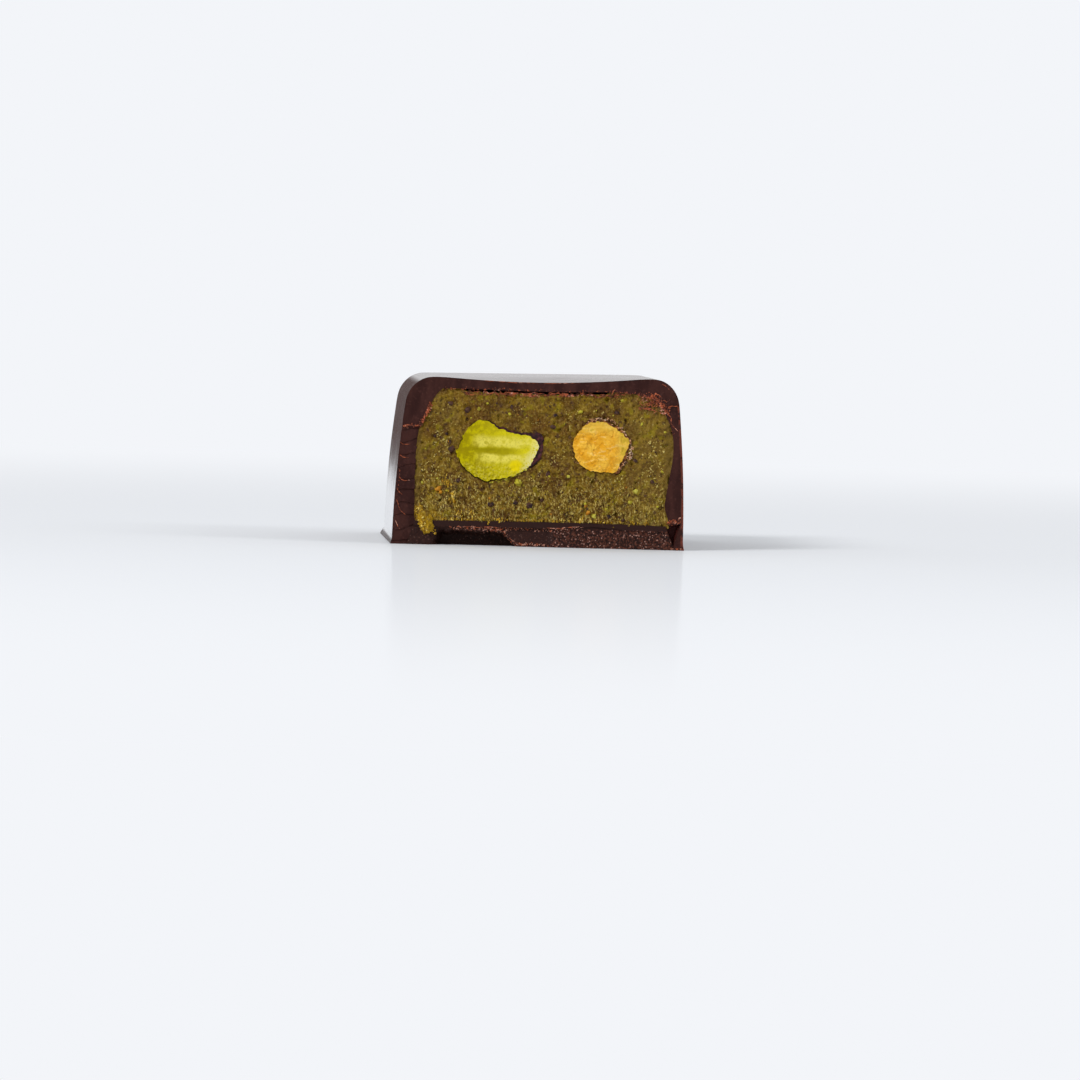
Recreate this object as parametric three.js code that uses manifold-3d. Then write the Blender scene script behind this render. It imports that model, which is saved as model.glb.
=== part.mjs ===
import * as THREE from 'three';
import { mergeVertices } from 'three/addons/utils/BufferGeometryUtils.js';
import { LoftGeometry } from 'three/addons/geometries/LoftGeometry.js';
import { ImprovedNoise } from 'three/addons/math/ImprovedNoise.js';
import Module from 'manifold-3d';

// The end piece of a filled dark chocolate bar: a moulded shell, a nut paste filling
// with two whole kernels in it, and a backing layer poured on last. It stands on its
// backing with the knife cut to the front. Millimetres: X across, Y along, Z up.

// The bar
const footWidth = 32.5; // across the bottom of the side walls
const barHeight = 18.65; // at the middle of the moulded top
const pieceLength = 38; // from the cut to the moulded end
const edgeRadius = 2.8; // of the two long top edges
const endRadius = 2.6; // of the edges round the moulded end
const sideBow = 0.0038; // each side draws in by this times the height squared
const endDraft = 0.05; // the moulded end draws in by this times the height
const lean = 0.0125; // sideways per millimetre up, and up per millimetre to the right

// The foot, a thin lip that the poured backing leaves along the bottom edge
const footLip = 0.2; // at the cut
const footLipGrowth = 0.35; // added to it by the moulded end
const footLipHeight = 0.9;

// The knife pressed the middle of the top down
const cutSag = 0.55;
const sagHalfWidth = 12;
const sagReach = 6.5; // it fades out this far behind the cut

// The layers
const backingTop = 2.65; // height of the joint between the filling and the backing
const backingHalfWidth = [14.4, 15.2]; // left and right, at the bottom
const backingSlope = [0.85, 1.1]; // how much narrower it is at its top
const endWall = 2.2; // thickness of the moulded end
const joint = 0.25; // clearance between pieces that touch

// Outline of the filling in the cut, from the lower left over the top to the lower right
const fillingOutline = [
  [-13.5, backingTop], [-13.7, 5.5], [-13.6, 9.5], [-13.3, 12.6], [-12.5, 14.4],
  [-11.9, 15.9], [-10.7, 17.15], [-8.5, 17.1], [-5, 16.8], [-1, 16.65],
  [3, 16.85], [7, 17.05], [10, 17.05], [12.3, 16.5], [13.7, 15],
  [14.6, 12.8], [14.75, 10.6], [14.4, 8], [13.95, 5], [14, backingTop],
];

// The kernels: their outlines in the cut, and how far each one reaches behind it
const pistachioOutline = [
  [-9.2, 10.1], [-8.6, 11.9], [-7.3, 13.6], [-5.8, 13.95], [-4.3, 13.15],
  [-2.4, 12.45], [-0.8, 12.1], [-0.3, 11], [-1.1, 9.1], [-2.9, 7.9],
  [-5.4, 7.25], [-7.7, 8],
];
const pistachioReach = 8.5;
const roastedOutline = [
  [3.65, 11.2], [4.2, 12.9], [5.7, 13.85], [7.6, 13.8], [9.1, 12.5],
  [9.85, 11], [9.3, 9.7], [8.3, 8.4], [6.4, 8.5], [4.4, 9.15],
];
const roastedReach = 7.5;

// A lump of filling that the knife dragged down over the backing
const smearCentre = [-12.4, 2.4]; // x and z
const smearSize = [1.15, 0.85, 1.25]; // half width, half depth and half height
const smearProud = 0.5; // how far it stands out of the cut
const smearUneven = 0.22; // share by which its size wanders

// Where the backing and the right foot broke away at the cut
const chipLeft = -10.6;
const chipRight = -4.4;
const chipTop = 1.8;
const chipDepth = 2.2;
const chipFlank = 0.7; // width of the broken slope at its right end
const facetRight = 1.8; // a shallow flat break runs on from the chip to here
const facetDepth = 0.35;
const breakTop = 2.1; // above this the backing is cut smooth, below it is broken
const breakDepth = 0.15;
const breakGrain = 0.9;
const notchOutline = [[15.05, 0.35], [14.1, 2.5], [15.65, 2.85]];
const notchDepth = 1.6;
const notchTaper = 0.35; // its back is this much smaller all round

// The left wall broke away in ridges below a crack, and the rest was sliced smooth
const crackHeight = 13;
const wallBreakDepth = 0.22;
const ridgeDepth = 0.12;
const ridgePitch = 1.35;
const ridgeTilt = 0.12; // the ridges run down to the left
const sliceWave = 0.08; // unevenness of the sliced part
const sliceWaveLength = 4;

// Relief of the cut paste and of the kernels: how deep, and the size of a lump
const pasteRelief = 0.4;
const pasteLump = 3.2;
const pasteGrain = 1.3;
const kernelRelief = 0.2;
const kernelLump = 2.3;
const kernelGrain = 1.1;
const grooveHeight = 10.5; // the seam between the halves of the pistachio
const grooveWidth = 0.45;
const grooveDepth = 0.35;
const grooveEnd = -2; // it fades out here

// Fineness of the faces
const wallPoints = 6; // up each side wall
const arcPoints = 5; // round each long top edge
const topPoints = 12; // across the top
const endPoints = 5; // round the moulded end
const outlinePoints = 44; // round the filling
const kernelPoints = 26; // round each kernel
const kernelRings = 6; // along each kernel
const shellGrid = 1.1; // pitch of the relief in the cut
const pasteGrid = 0.85;
const backingGrid = 0.7;
const kernelGrid = 0.8;

const cutY = smearProud - (pieceLength + smearProud) / 2;
const endY = cutY + pieceLength;
const beyondCut = 2; // solids start this far in front of the cut and are sliced back

const wasm = await Module();
wasm.setup();
const noise = new ImprovedNoise();

const clamp01 = (value) => THREE.MathUtils.clamp(value, 0, 1);
const ease = THREE.MathUtils.smoothstep;

/** A closed geometry as a solid that can be cut and joined. */
function solid(geometry) {
  const bare = new THREE.BufferGeometry().copy(geometry);
  bare.deleteAttribute('normal');
  bare.deleteAttribute('uv');
  const merged = mergeVertices(bare);
  return new wasm.Manifold(new wasm.Mesh({
    numProp: 3,
    vertProperties: Float32Array.from(merged.attributes.position.array),
    triVerts: Uint32Array.from(merged.index.array),
  }));
}

/** A solid as a three.js geometry. */
function geometryOf(body) {
  const mesh = body.getMesh();
  const geometry = new THREE.BufferGeometry();
  geometry.setAttribute('position', new THREE.BufferAttribute(mesh.vertProperties, 3));
  geometry.setIndex(new THREE.BufferAttribute(mesh.triVerts, 1));
  geometry.computeVertexNormals();
  return geometry;
}

/** Evenly spaced points on a smooth line through [x, z] stations. */
function smoothLine(stations, count, closed = false) {
  const places = stations.map(([x, z]) => new THREE.Vector3(x, 0, z));
  const points = new THREE.CatmullRomCurve3(places, closed, 'centripetal').getSpacedPoints(count);
  if (closed) points.pop();
  return points;
}

/** The direction into a ring across one of its edges; rings run clockwise seen from the front. */
function inwardOf(start, end) {
  return new THREE.Vector3(end.z - start.z, 0, start.x - end.x).normalize();
}

/** The same ring at y, with its edges moved inwards by a distance. */
function ringAt(ring, y, inwards = 0) {
  return ring.map((point, i) => {
    const before = inwardOf(ring.at(i - 1), point);
    const after = inwardOf(point, ring[(i + 1) % ring.length]);
    const corner = before.clone().add(after).multiplyScalar(inwards / (1 + before.dot(after)));
    return new THREE.Vector3(point.x + corner.x, y, point.z + corner.z);
  });
}

function loft(rings) {
  return solid(new LoftGeometry(rings, { capStart: true, capEnd: true }));
}

/** Half width of the moulded bar at a height, with the lip along its foot. */
function halfWidthAt(z, y) {
  const lip = footLip + footLipGrowth * clamp01((y - cutY) / pieceLength);
  const lipShare = clamp01(1 - z / footLipHeight) ** 2;
  return footWidth / 2 - footLip - sideBow * z * z + lip * lipShare;
}

/** How far the top is pressed down at a place near the cut. */
function sagAt(x, y) {
  const across = clamp01(1 - (x / sagHalfWidth) ** 2);
  const along = Math.exp(-(((y - cutY) / sagReach) ** 2));
  return cutSag * across * along;
}

/** Outline of the moulded bar at y, drawn in by an inset where the end is rounded. */
function barRing(y, inset) {
  const radius = edgeRadius - inset;
  const top = barHeight - inset;
  const arcBase = top - radius;
  const arcCentre = halfWidthAt(arcBase, y) - inset - radius;
  const right = [];
  for (let i = 0; i < topPoints / 2; i++) right.push([arcCentre * (i / (topPoints / 2)), top]);
  for (let i = 0; i < arcPoints; i++) {
    const turn = (Math.PI / 2) * (i / arcPoints);
    right.push([arcCentre + radius * Math.sin(turn), arcBase + radius * Math.cos(turn)]);
  }
  for (let i = 0; i <= wallPoints; i++) {
    const z = arcBase * (1 - i / wallPoints) ** 1.5;
    right.push([halfWidthAt(z, y) - inset, z]);
  }
  const left = right.slice(1).reverse().map(([x, z]) => [-x, z]);
  return [...left, ...right].map(([x, z]) => {
    const raised = clamp01(z / barHeight);
    const draft = endDraft * z * clamp01((y - cutY) / pieceLength);
    const sag = sagAt(x, y) * ease(z, backingTop, barHeight);
    return new THREE.Vector3(x + lean * z, y - draft, z + lean * x * raised - sag);
  });
}

/** The outside of the bar, with no hollow and not yet sliced. */
function barBlock() {
  const rings = [barRing(cutY - beyondCut, 0)];
  const straight = pieceLength - endRadius;
  for (const share of [0, 0.05, 0.1, 0.16, 0.23, 0.32, 0.45, 0.7, 1]) {
    rings.push(barRing(cutY + straight * share, 0));
  }
  for (let i = 1; i <= endPoints; i++) {
    const turn = (Math.PI / 2) * (i / endPoints);
    const inset = endRadius * (1 - Math.cos(turn));
    rings.push(barRing(endY - endRadius * (1 - Math.sin(turn)), inset));
  }
  return loft(rings);
}

/** The space for the filling, or with an inset the filling itself. */
function fillingBlock(inset) {
  const ring = smoothLine(fillingOutline, outlinePoints);
  const back = endY - endWall - endDraft * barHeight - inset;
  return loft([
    ringAt(ring, cutY - beyondCut, inset),
    ringAt(ring, back - endRadius, inset),
    ringAt(ring, back, inset + endRadius / 3),
  ]);
}

/** The channel for the backing between the walls, or with an inset the backing itself. */
function backingBlock(inset) {
  const bottom = inset > 0 ? 0 : -1;
  const top = backingTop - inset / 2;
  const [left, right] = [0, 1].map((side) => (z) => (
    backingHalfWidth[side] - inset - backingSlope[side] * (z / backingTop)
  ));
  const ring = [[-left(bottom), bottom], [-left(top), top], [right(top), top], [right(bottom), bottom]]
    .map(([x, z]) => new THREE.Vector3(x, 0, z));
  return loft([ringAt(ring, cutY - beyondCut), ringAt(ring, endY - endWall - inset)]);
}

/** A kernel through the cut that tapers to a rounded tip behind it. */
function kernelBlock(outline, reach, outwards = 0) {
  const ring = smoothLine(outline, kernelPoints, true);
  const centre = ring.reduce((sum, point) => sum.add(point), new THREE.Vector3());
  centre.divideScalar(ring.length);
  const rings = [ringAt(ring, cutY - beyondCut, -outwards)];
  for (let i = 0; i <= kernelRings; i++) {
    const turn = (Math.PI / 2) * (i / (kernelRings + 0.5));
    const sized = ring.map((point) => point.clone().sub(centre).multiplyScalar(Math.cos(turn)).add(centre));
    rings.push(ringAt(sized, cutY + (reach + outwards) * Math.sin(turn), -outwards));
  }
  return loft(rings);
}

/** The dragged lump of filling, or with a clearance the space it needs. */
function smearBlock(clearance) {
  const geometry = new THREE.SphereGeometry(1, 14, 10);
  const place = geometry.attributes.position;
  const spot = new THREE.Vector3();
  for (let i = 0; i < place.count; i++) {
    spot.fromBufferAttribute(place, i);
    const wander = smearUneven * noise.noise(2 * spot.x, 2 * spot.y, 2 * spot.z);
    const [across, along, up] = smearSize.map((half) => half * (1 + wander) + clearance);
    place.setXYZ(i, spot.x * across, spot.y * along, spot.z * up);
  }
  geometry.computeBoundingBox();
  const front = cutY - smearProud - clearance;
  geometry.translate(smearCentre[0], front - geometry.boundingBox.min.y, smearCentre[1]);
  return solid(geometry);
}

/** A broken corner that narrows towards its back. */
function notchBlock() {
  const ring = notchOutline.map(([x, z]) => new THREE.Vector3(x, 0, z));
  const back = ringAt(ring, cutY + notchDepth, notchTaper);
  return loft([ringAt(ring, cutY - beyondCut), ringAt(ring, cutY), back]);
}

/** Everything behind the knife, whose face dips in by a relief given at each x and z. */
function behindKnife(pitch, relief) {
  const width = footWidth + 2 * beyondCut;
  const depth = pieceLength + 2 * beyondCut;
  const height = barHeight + 2 * beyondCut;
  const geometry = new THREE.BoxGeometry(
    width, depth, height, Math.round(width / pitch), 1, Math.round(height / pitch),
  );
  geometry.translate(0, cutY + depth / 2, height / 2 - beyondCut);
  const place = geometry.attributes.position;
  for (let i = 0; i < place.count; i++) {
    if (place.getY(i) > 0) continue;
    place.setY(i, cutY + relief(place.getX(i), place.getZ(i)));
  }
  return solid(geometry);
}

/** Uneven lumps between 0 and 1; each size in millimetres gives a pattern of its own. */
function lumps(x, z, size) {
  return clamp01(0.5 + 0.7 * noise.noise(x / size, 10 * size, z / size));
}

/** 1 between two places and 0 outside them, with a slope of a given width at each. */
function between(value, low, high, slope) {
  return ease(value, low, low + slope) * (1 - ease(value, high, high + slope));
}

function shellRelief(x, z) {
  const broken = x < 0 && z < crackHeight ? 1 : 0;
  const ridge = 0.5 + 0.5 * Math.cos((2 * Math.PI * (z - ridgeTilt * x)) / ridgePitch);
  const slice = sliceWave * lumps(x, z, sliceWaveLength);
  return broken * (wallBreakDepth + ridgeDepth * ridge) + slice;
}

function pasteDip(x, z) {
  return pasteRelief * (0.6 * lumps(x, z, pasteLump) + 0.4 * lumps(x, z, pasteGrain));
}

function backingRelief(x, z) {
  const broken = 1 - ease(z, breakTop - 0.2, breakTop);
  const grain = breakDepth * (0.6 + 0.8 * lumps(x, z, breakGrain));
  const facet = facetDepth * between(x, chipRight, facetRight - chipFlank, chipFlank);
  const undercut = 1 - ease(z, chipTop - chipFlank / 2, chipTop);
  const chip = chipDepth * between(x, chipLeft, chipRight, chipFlank) * undercut;
  return broken * (grain + facet) + chip;
}

function pistachioRelief(x, z) {
  const across = Math.exp(-(((z - grooveHeight) / grooveWidth) ** 2));
  const groove = across * (1 - ease(x, grooveEnd - 1, grooveEnd + 1));
  return kernelRelief * lumps(x, z, kernelLump) + grooveDepth * groove;
}

function roastedRelief(x, z) {
  return kernelRelief * (0.5 * lumps(x, z, kernelLump) + 0.9 * lumps(x, z, kernelGrain));
}

/** One named sub-part with its own colour. */
function piece(name, body, color, roughness) {
  const material = new THREE.MeshStandardMaterial({ color, roughness, metalness: 0 });
  const mesh = new THREE.Mesh(geometryOf(body), material);
  mesh.name = name;
  return mesh;
}

const smear = smearBlock(0);
const smearSpace = smearBlock(joint);

const shell = barBlock()
  .subtract(fillingBlock(0))
  .subtract(backingBlock(0))
  .subtract(smearSpace)
  .subtract(notchBlock())
  .intersect(behindKnife(shellGrid, shellRelief));

const backing = backingBlock(joint)
  .subtract(smearSpace)
  .intersect(behindKnife(backingGrid, backingRelief));

const filling = fillingBlock(joint)
  .intersect(behindKnife(pasteGrid, pasteDip))
  .add(smear)
  .subtract(kernelBlock(pistachioOutline, pistachioReach, joint))
  .subtract(kernelBlock(roastedOutline, roastedReach, joint));

const pistachio = kernelBlock(pistachioOutline, pistachioReach)
  .intersect(behindKnife(kernelGrid, pistachioRelief));

const roasted = kernelBlock(roastedOutline, roastedReach)
  .intersect(behindKnife(kernelGrid, roastedRelief));

const bar = new THREE.Group();
bar.add(
  piece('shell', shell, 0x3a2220, 0.35),
  piece('backing', backing, 0x37211e, 0.55),
  piece('filling', filling, 0x72592a, 0.6),
  piece('pistachio_kernel', pistachio, 0xc6b931, 0.5),
  piece('roasted_kernel', roasted, 0xe3a93b, 0.6),
);

export default bar;
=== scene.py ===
# The end piece of a filled dark chocolate bar, cut across with a knife: a moulded
# shell, green nut paste, two kernels and a poured backing, on a white studio floor.
# Metres, +Z up, the cut face to the front at -Y. Sizes are millimetres times mm.
import math
import random

import bmesh
import bpy
from mathutils import Matrix, Quaternion, Vector, noise


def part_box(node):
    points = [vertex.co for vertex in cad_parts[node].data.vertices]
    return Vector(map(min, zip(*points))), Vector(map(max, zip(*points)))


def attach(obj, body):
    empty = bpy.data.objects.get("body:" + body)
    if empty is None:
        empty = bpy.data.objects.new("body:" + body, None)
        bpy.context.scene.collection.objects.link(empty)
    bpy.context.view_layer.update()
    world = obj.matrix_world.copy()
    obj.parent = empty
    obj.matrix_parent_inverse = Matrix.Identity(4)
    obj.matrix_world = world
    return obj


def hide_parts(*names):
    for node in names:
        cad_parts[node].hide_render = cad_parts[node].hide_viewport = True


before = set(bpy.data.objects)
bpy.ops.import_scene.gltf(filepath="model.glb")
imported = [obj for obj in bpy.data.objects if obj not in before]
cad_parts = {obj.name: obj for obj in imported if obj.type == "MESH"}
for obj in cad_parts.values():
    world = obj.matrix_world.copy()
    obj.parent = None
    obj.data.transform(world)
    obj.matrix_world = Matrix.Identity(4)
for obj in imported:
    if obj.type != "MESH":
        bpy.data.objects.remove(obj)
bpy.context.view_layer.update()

mm = 0.001

# --- Moulded shell ---
# Tempered dark chocolate cast in a polished mould: a top, two bowed sides and a
# closed end, open underneath. The knife sliced its front, pressed the middle of the
# top down, and broke the left wall away in ridges below a crack.

end_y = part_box("shell")[1].y
piece_length = 38 * mm
cut_y = end_y - piece_length
bar_half = 16.05 * mm
bar_height = 18.65 * mm
edge_radius = 2.7 * mm
side_bow = 0.0038 / mm  # each side draws in by this times the height squared
end_draft = 0.05
lean = 0.0125  # sideways for each height, and up for each width
foot_lip = 0.2 * mm
foot_lip_growth = 0.35 * mm  # added to the lip by the moulded end
foot_lip_height = 0.9 * mm
cut_sag = 0.55 * mm
sag_half_width = 12 * mm
sag_reach = 6.5 * mm
spare = 3 * mm  # blocks start this far outside their cuts
sliced_slot = 1  # of the shell's two materials, the one for its cut faces


def only(piece):
    """Selects one piece alone and makes it active."""
    bpy.ops.object.select_all(action="DESELECT")
    piece.select_set(True)
    bpy.context.view_layer.objects.active = piece


def choose(kind, test):
    """In edit mode, selects only the verts, edges or faces that pass a test."""
    mesh = bpy.context.object.data
    bpy.context.tool_settings.mesh_select_mode = [kind == each for each in ("verts", "edges", "faces")]
    bpy.ops.mesh.select_all(action="DESELECT")
    shape = bmesh.from_edit_mesh(mesh)
    for part in getattr(shape, kind):
        if test(part):
            part.select_set(True)
    bmesh.update_edit_mesh(mesh)


def block(name, low, high):
    """A box between two corners."""
    bpy.ops.mesh.primitive_cube_add(size=1)
    piece = bpy.context.object
    piece.name = name
    bpy.ops.object.mode_set(mode="EDIT")
    bpy.ops.transform.resize(value=high - low)
    bpy.ops.transform.translate(value=(low + high) / 2)
    bpy.ops.object.mode_set(mode="OBJECT")
    return piece


def ease(value, low, high):
    """0 below low, 1 above high, and a smooth step between."""
    share = min(max((value - low) / (high - low), 0), 1)
    return share * share * (3 - 2 * share)


def wave(x, z, size, seed=0.0):
    """Smooth noise between about -1 and 1, in lumps of a given size."""
    return noise.noise(Vector((x / size, seed, z / size)))


def settle(spot):
    """Where a point of the straight-sided block lies on the moulded and sagged bar."""
    x, y, z = spot
    along = min(max((y - cut_y) / piece_length, 0), 1)
    lip_share = max(1 - max(z, 0) / foot_lip_height, 0) ** 2
    lip = (foot_lip + foot_lip_growth * along) * lip_share
    half = bar_half - side_bow * z * z + lip
    across = max(1 - (x / sag_half_width) ** 2, 0)
    sag = cut_sag * across * math.exp(-(((y - cut_y) / sag_reach) ** 2)) * ease(z, 3 * mm, bar_height)
    uneven = 0.04 * mm * wave(x, y, 7 * mm, z / (7 * mm)) * ease(z, 0, 2 * mm)
    x = x * half / bar_half + lean * z
    y = y - end_draft * max(z, 0) * along
    z = z + lean * x * min(max(z / bar_height, 0), 1) - sag
    return Vector((x + uneven, y + uneven, z + uneven * 0.5))


shell = block(
    "moulded_shell",
    Vector((-bar_half, cut_y - spare, -spare)),
    Vector((bar_half, end_y, bar_height)),
)
stations = (
    [side * at * mm for at in (3, 6, 9, 12) for side in (-1, 1)] + [0],
    [cut_y + at * mm for at in (0, 1.5, 3, 4.5, 6, 8, 10, 13, 17, 22, 27, 32)],
    [at * mm for at in (0, 0.3, 0.6, 0.9, 1.4, 3, 6, 9, 12, 15)],
)
bpy.ops.object.mode_set(mode="EDIT")
for axis, places in zip((Vector((1, 0, 0)), Vector((0, 1, 0)), Vector((0, 0, 1))), stations):
    for place in places:
        bpy.ops.mesh.select_all(action="SELECT")
        bpy.ops.mesh.bisect(plane_co=axis * place, plane_no=axis, threshold=0.001 * mm)


def on_moulded_edge(edge):
    """True on the long top edges and on the edges round the moulded end."""
    ends = [vert.co for vert in edge.verts]
    at_side = all(abs(abs(end.x) - bar_half) < 0.01 * mm for end in ends)
    at_top = all(abs(end.z - bar_height) < 0.01 * mm for end in ends)
    at_end = all(abs(end.y - end_y) < 0.01 * mm for end in ends)
    return at_side + at_top + at_end >= 2


choose("edges", on_moulded_edge)
bpy.ops.mesh.bevel(offset=edge_radius, segments=6, affect="EDGES")
bpy.ops.object.mode_set(mode="OBJECT")
for vertex in shell.data.vertices:
    vertex.co = settle(vertex.co)


def finish_with(piece, kind, **settings):
    """Adds a modifier to a piece and applies it."""
    only(piece)
    modifier = piece.modifiers.new(kind.title(), kind)
    for name, value in settings.items():
        setattr(modifier, name, value)
    bpy.ops.object.modifier_apply(modifier=modifier.name)


def flat_bottom(piece):
    """Cuts a piece off at the ground and closes it."""
    only(piece)
    bpy.ops.object.mode_set(mode="EDIT")
    bpy.ops.mesh.select_all(action="SELECT")
    bpy.ops.mesh.bisect(
        plane_co=(0, 0, 0), plane_no=(0, 0, 1), use_fill=True, clear_inner=True, threshold=0.001 * mm
    )
    bpy.ops.object.mode_set(mode="OBJECT")


def soften(piece, degrees):
    """Shades a piece smooth, but for edges where it turns by more than some degrees."""
    only(piece)
    bpy.ops.object.shade_smooth_by_angle(angle=math.radians(degrees))


finish_with(shell, "SUBSURF", levels=2, render_levels=2)
flat_bottom(shell)


def on_curve(a, b, c, d, share):
    """A place on the smooth line through four stations, a share of the way from b to c."""
    bend = 2 * a - 5 * b + 4 * c - d
    twist = 3 * b - a - 3 * c + d
    return b + 0.5 * share * ((c - a) + share * (bend + share * twist))


def smooth_ring(stations, count):
    """Points on a closed smooth line through [x, z] stations in millimetres."""
    ring = []
    for i in range(count):
        at, share = divmod(i * len(stations) / count, 1)
        spots = (Vector(stations[(int(at) + step) % len(stations)]) for step in (-1, 0, 1, 2))
        ring.append(on_curve(*spots, share) * mm)
    return ring


def grown(ring, growth):
    """A clockwise ring moved outwards by a distance, or by one worked out from each point."""
    moved = []
    for i, spot in enumerate(ring):
        along = (ring[(i + 1) % len(ring)] - ring[i - 1]).normalized()
        distance = growth(spot) if callable(growth) else growth
        moved.append(spot + Vector((-along.y, along.x)) * distance)
    return moved


def prism(name, ring, front, back, taper=()):
    """A solid of one outline from front to back, then drawn in by pairs of distance and scale."""
    bpy.ops.mesh.primitive_circle_add(vertices=len(ring), fill_type="NGON")
    piece = bpy.context.object
    piece.name = name
    for vertex, spot in zip(piece.data.vertices, ring):
        vertex.co = (spot.x, front, spot.y)
    centre = sum(ring, Vector((0, 0))) / len(ring)
    bpy.ops.object.mode_set(mode="EDIT")
    bpy.ops.mesh.select_all(action="SELECT")
    reached, size = front, 1.0
    for distance, scale in ((back - front, 1.0), *taper):
        bpy.ops.mesh.extrude_region_move(TRANSFORM_OT_translate={"value": (0, distance, 0)})
        reached += distance
        if scale != size:
            bpy.ops.transform.resize(
                value=(scale / size,) * 3, center_override=(centre.x, reached, centre.y)
            )
        size = scale
    bpy.ops.mesh.select_all(action="SELECT")
    bpy.ops.mesh.normals_make_consistent(inside=False)
    bpy.ops.object.mode_set(mode="OBJECT")
    return piece


def knife(low_x, high_x, low_z, high_z, pitch, relief):
    """What is in front of a cut, whose face dips in by a relief given at each x and z."""
    width, height = high_x - low_x, high_z - low_z
    bpy.ops.mesh.primitive_grid_add(
        x_subdivisions=round(width / pitch), y_subdivisions=round(height / pitch), size=1
    )
    piece = bpy.context.object
    for vertex in piece.data.vertices:
        x = low_x + (vertex.co.x + 0.5) * width
        z = low_z + (vertex.co.y + 0.5) * height
        vertex.co = (x, cut_y + relief(x, z), z)
    bpy.ops.object.mode_set(mode="EDIT")
    bpy.ops.mesh.select_all(action="SELECT")
    bpy.ops.mesh.extrude_region_move(TRANSFORM_OT_translate={"value": (0, -3 * spare, 0)})
    bpy.ops.mesh.select_all(action="SELECT")
    bpy.ops.mesh.normals_make_consistent(inside=False)
    bpy.ops.object.mode_set(mode="OBJECT")
    return piece


def carve(piece, tool, operation="DIFFERENCE"):
    """Cuts a tool out of a piece, or joins it on, and throws the tool away."""
    finish_with(piece, "BOOLEAN", object=tool, operation=operation, solver="MANIFOLD")
    bpy.data.objects.remove(tool)


crack_height = 13 * mm
ridge_pitch = 1.35 * mm


def shell_relief(x, z):
    """A smooth slice, with ridges broken out of the left wall below the crack."""
    slice_wave = 0.05 * mm * wave(x, z, 4 * mm) + 0.015 * mm * wave(x, z, 0.7 * mm, 2)
    rough = 0.03 * mm * wave(x, z, 0.3 * mm, 3)
    wobble = 0.35 * mm * wave(x, z, 1.6 * mm, 4)
    rise = (z - 0.15 * x + wobble) / ridge_pitch % 1
    ridges = (0.16 + 0.14 * rise * rise) * mm
    edge = 0.15 * mm * wave(x, z, 0.8 * mm, 5)
    broken = (x < 0) * (1 - ease(z + edge, crack_height - 0.08 * mm, crack_height + 0.04 * mm))
    corner = ease(x, 11 * mm, 12.5 * mm) * ease(z, 13 * mm, 15 * mm)
    crumbly = corner * (1 - ease(z, 17.2 * mm, 17.6 * mm))
    foot = ease(x, 14 * mm, 14.3 * mm) * (1 - ease(z, 3.2 * mm, 3.8 * mm))
    return 0.1 * mm + slice_wave + broken * (ridges + rough) + (crumbly + foot) * 3 * rough


cavity_outline = (
    (-12.9, 2.0), (-13.6, 5.5), (-13.6, 9.5), (-13.3, 12.6), (-12.6, 14.3),
    (-11.95, 15.9), (-10.8, 17.15), (-8.5, 17.25), (-5, 17.2), (-1, 17.15),
    (3, 17.15), (7, 17.25), (10, 17.15), (12.2, 16.6), (13.6, 15.2),
    (14.55, 13), (14.75, 10.6), (14.4, 8), (13.95, 5), (13.95, 2.0),
    (7, 1.9), (0, 1.9), (-7, 1.9),
)
cavity_ring = smooth_ring(cavity_outline, 230)
end_wall = 2.2 * mm
cavity_back = end_y - end_wall - 1 * mm
cavity = prism("cavity", cavity_ring, cut_y - 2 * spare, cavity_back)

backing_outline = ((-14.4, 0), (-13.55, 2.65), (14.1, 2.65), (15.2, 0))
left, left_top, right_top, right = (Vector(corner) * mm for corner in backing_outline)
fall = 1 * mm / left_top.y  # the channel for the backing starts a millimetre below the bar
channel_ring = [
    left + (left - left_top) * fall, left_top,
    right_top, right + (right - right_top) * fall,
]
channel = prism("channel", channel_ring, cut_y - 2 * spare, end_y - end_wall)

notch_outline = ((15.05, 0.3), (14.0, 2.45), (14.5, 2.75), (15.75, 2.9))
notch_ring = [Vector(corner) * mm for corner in notch_outline]
notch = prism("notch", notch_ring, cut_y - 2 * spare, cut_y, taper=((1.6 * mm, 0.6),))
waste = knife(-18 * mm, 18 * mm, -1 * mm, 20 * mm, 0.1 * mm, shell_relief)


class Value:
    """A shader socket that takes part in plain arithmetic."""

    def __init__(self, nodes, socket):
        self.nodes = nodes
        self.socket = socket

    def math(self, operation, *values):
        return self.nodes.node("ShaderNodeMath", {"operation": operation}, dict(enumerate(values)))

    def __add__(self, other):
        return self.math("ADD", self, other)

    def __sub__(self, other):
        return self.math("SUBTRACT", self, other)

    def __mul__(self, other):
        return self.math("MULTIPLY", self, other)

    def __rsub__(self, other):
        return self.math("SUBTRACT", other, self)

    def __or__(self, other):
        return self.math("MAXIMUM", self, other)

    def __abs__(self):
        return self.math("ABSOLUTE", self)

    __radd__ = __add__
    __rmul__ = __mul__

    def step(self, low, high):
        """0 below low and 1 above high, or the other way round, with a smooth step between."""
        ranges = {"Value": self, "From Min": low, "From Max": high}
        return self.nodes.node("ShaderNodeMapRange", {"interpolation_type": "SMOOTHSTEP"}, ranges)


class Nodes:
    """A node tree, built up through one method."""

    def __init__(self, tree):
        self.tree = tree

    def node(self, kind, settings=(), values=(), output=0):
        """Adds a node: its settings first, then the values or links of its sockets."""
        made = self.tree.nodes.new(kind)
        for name, value in dict(settings).items():
            setattr(made, name, value)
        for name, value in dict(values).items():
            self.feed(made.inputs[name], value)
        return Value(self, made.outputs[output])

    def feed(self, socket, value):
        if isinstance(value, Value):
            self.tree.links.new(value.socket, socket)
        else:
            socket.default_value = value


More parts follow.
